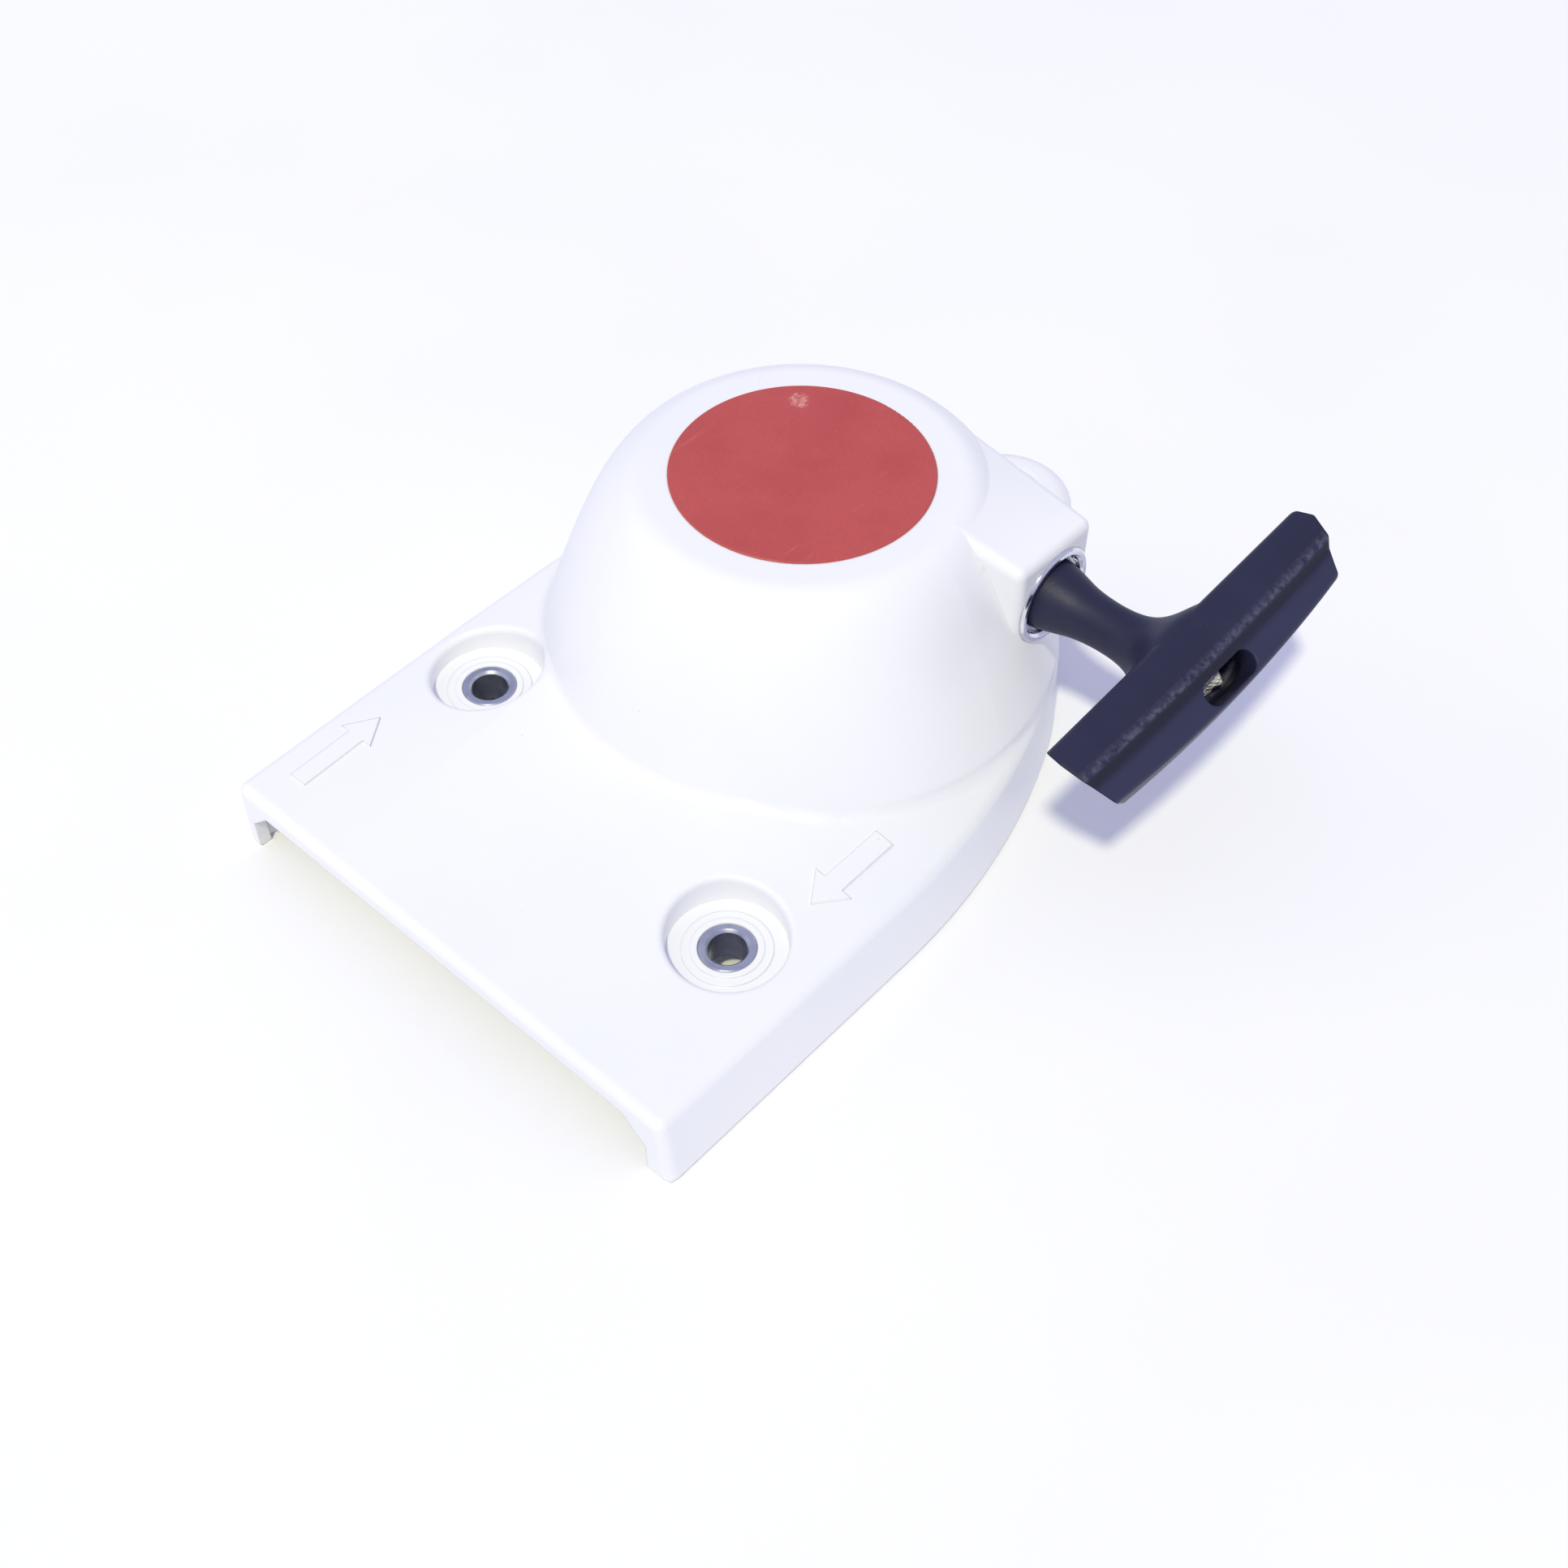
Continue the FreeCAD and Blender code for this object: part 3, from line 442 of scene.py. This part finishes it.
def winding_line():
    """Rope wound on the rotor, in layers that climb and fall in the groove, to where it leaves along +X."""
    diameter = ROPE_RADIUS * 2
    low, high = winding_low.z + ROPE_RADIUS, winding_high.z - ROPE_RADIUS
    outer = ROPE_LINE.y
    climb = (high - low) / diameter
    legs = [(climb, outer - 2 * diameter, low, high), (climb, outer - diameter, high, low),
            (climb / 2, outer, low, ROPE_LINE.z)]
    places = []
    for index, (turns, radius, start, end) in enumerate(legs):
        places += [(turns, radius, radius, start, end)]
        if index < len(legs) - 1:
            places += [(1.0, radius, radius + diameter, end, end)]
    total = sum(place[0] for place in places)
    steps_per_turn = 48
    line, done = [], 0.0
    for turns, radius_a, radius_b, z_a, z_b in places:
        steps = max(4, int(turns * steps_per_turn))
        for step in range(steps):
            share = step / steps
            angle = math.pi / 2 + 2 * math.pi * (total - done - turns * share)
            radius = radius_a + (radius_b - radius_a) * share
            height = z_a + (z_b - z_a) * share
            line.append(Vector((radius * math.cos(angle), radius * math.sin(angle), height)))
        done += turns
    tail = [Vector((distance * MM, ROPE_LINE.y, ROPE_LINE.z)) for distance in (0, 2, 4, 6, 8)]
    return evened(line + tail, 2)


def knot_line(centre):
    """Overhand knot pulled tight against the grip, from the rope's line to its cut tail."""
    size = 2.1 * MM             # half the knot's width across the rope
    reach = 2.6                 # how wide the trefoil curve is drawn before it is brought to that size
    flatness = 0.42             # its depth along the rope, as a share of size
    start, left_open = 0.35, 0.45   # radians of the curve: where it begins and how much is left out
    loop_steps, tail_steps = 60, 5
    loops = []
    for step in range(loop_steps + 1):
        t = start + (2 * math.pi - left_open) * step / loop_steps
        across = math.sin(t) + 2 * math.sin(2 * t)
        upward = math.cos(t) - 2 * math.cos(2 * t)
        depth = -math.sin(3 * t)
        loops.append(centre + Vector((depth * flatness, across / reach, upward / reach)) * size)
    entry = [centre + Vector((x, 0, 0)) * MM for x in (-5.5, -4.5, -3.5)]
    cut_end = centre + Vector((2.7, 2.0, 1.5)) * MM
    tail = [loops[-1].lerp(cut_end, step / tail_steps) for step in range(1, tail_steps + 1)]
    return evened(entry + loops + tail, 4)


winding = cord_mesh("rope_turns", winding_line(), ROPE_RADIUS)
run_start = Vector((run_low.x, ROPE_LINE.y, ROPE_LINE.z))
knot_centre = Vector((knot_low.x + ROPE_RADIUS * 2, ROPE_LINE.y, ROPE_LINE.z))
run_end = knot_centre - X_AXIS * 3.2 * MM       # just short of the knot's first loop
run_steps = 260
run_line = [run_start.lerp(run_end, step / run_steps) for step in range(run_steps + 1)]
run = cord_mesh("rope_taut", run_line, ROPE_RADIUS)
knot = cord_mesh("rope_overhand_knot", knot_line(knot_centre), ROPE_RADIUS * 0.76, ends=(1.0, 0.92))

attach(winding, "rotor")
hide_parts("rope_winding")
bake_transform(run)
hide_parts("rope_run")
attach(knot, "rope")
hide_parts("rope_knot")

# --- materials on every piece -------------------------------------------------
cord_finish = rope_fibre("rope_fibre", straight=False)
rope_axis = (ROPE_LINE, X_AXIS)
finishes = {
    "starter_cover": cover_plastic(),
    "badge_disc": badge_print(),
    "rope_ferrule": turned_steel("ferrule_steel", (0.80, 0.81, 0.85), 0.12, [rope_axis], 0.006 * MM),
    "rotor_axle": turned_steel("axle_steel", (0.56, 0.56, 0.58), 0.3, [(ORIGIN, Z_AXIS)]),
    "axle_washer": turned_steel("washer_steel", (0.52, 0.52, 0.53), 0.34, [(ORIGIN, Z_AXIS)]),
    "e_clip": turned_steel("clip_steel", (0.26, 0.26, 0.28), 0.36, []),
    "pawl_clip": turned_steel("wire_steel", (0.46, 0.46, 0.48), 0.28, []),
    "spring_case": moulded_polymer("case_polymer", (0.035, 0.035, 0.04), 0.45),
    "rewind_spring": blued_spring(),
    "rope_rotor": moulded_polymer("rotor_polymer", (0.05, 0.05, 0.055), 0.5, fibre=True),
    "pawl": moulded_polymer("pawl_polymer", (0.62, 0.56, 0.42), 0.4),
    "starter_grip": grip_polymer(),
}
for place in ("front", "left", "rear"):
    low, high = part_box("sleeve_" + place)
    axis = ((low + high) / 2, Z_AXIS)
    finishes["sleeve_" + place] = turned_steel("sleeve_steel_" + place, (0.50, 0.52, 0.60), 0.3, [axis])
for node, finish in finishes.items():
    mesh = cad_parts[node].data
    mesh.materials.clear()
    mesh.materials.append(finish)
winding.data.materials.append(cord_finish)
knot.data.materials.append(cord_finish)
run.data.materials.append(rope_fibre("rope_fibre_taut", straight=True))


# --- floor, light and camera --------------------------------------------------
def pale_floor(half=2.0, drop=0.05 * MM):
    """Matt white square, 2 * half across, drop below the part's underside."""
    mesh = bpy.data.meshes.new("floor")
    corners = [(-half, -half, -drop), (half, -half, -drop), (half, half, -drop), (-half, half, -drop)]
    mesh.from_pydata(corners, [], [(0, 1, 2, 3)])
    floor = bpy.data.objects.new("floor", mesh)
    bpy.context.scene.collection.objects.link(floor)
    paper = Finish("floor_paper", (0.93, 0.93, 0.94), 0.9)
    paper.paint((0.91, 0.91, 0.93), paper.between(paper.noise(9, 2.0), 0.4, 0.7))
    mesh.materials.append(paper.block)


def studio_world(colour, strength):
    """Even light from all around."""
    world = bpy.data.worlds.new("studio")
    world.use_nodes = True
    background = world.node_tree.nodes["Background"]
    background.inputs["Color"].default_value = (*colour, 1)
    background.inputs["Strength"].default_value = strength
    bpy.context.scene.world = world


def soft_box(name, direction, distance, size, watts, colour, target=Vector((0.01, -0.02, 0.02))):
    """Round lamp, distance metres from the target along a direction, facing it."""
    light = bpy.data.lights.new(name, "AREA")
    light.shape = "DISK"
    light.size = size
    light.energy = watts
    light.color = colour
    box = bpy.data.objects.new(name, light)
    place = target + Vector(direction).normalized() * distance
    box.location = place
    box.rotation_euler = (target - place).to_track_quat("-Z", "Y").to_euler()
    bpy.context.scene.collection.objects.link(box)


def photo_camera():
    """The photograph's view, as matched to it."""
    place = Vector((0.1861, -0.2126, 0.2981))
    target = Vector((0.0228, -0.0300, 0.0139))
    roll = math.radians(0.35)
    camera = bpy.data.cameras.new("camera")
    camera.lens = 46.08
    camera.sensor_width = 36.0
    camera.clip_start = 0.01
    made = bpy.data.objects.new("camera", camera)
    aim = (target - place).to_track_quat("-Z", "Y").to_matrix().to_4x4()
    made.matrix_world = Matrix.Translation(place) @ aim @ Matrix.Rotation(roll, 4, "Z")
    bpy.context.scene.collection.objects.link(made)
    bpy.context.scene.camera = made


pale_floor()
studio_world((0.66, 0.68, 0.98), 0.78)
soft_box("key", (0.295, -0.53, 1.0), 6.0, 0.42, 212.0, (1.0, 0.98, 0.68))
soft_box("fill", (-0.9, -0.5, 0.8), 1.2, 0.7, 0.9, (0.98, 0.98, 1.0))
photo_camera()
bpy.context.scene.view_settings.view_transform = "Standard"
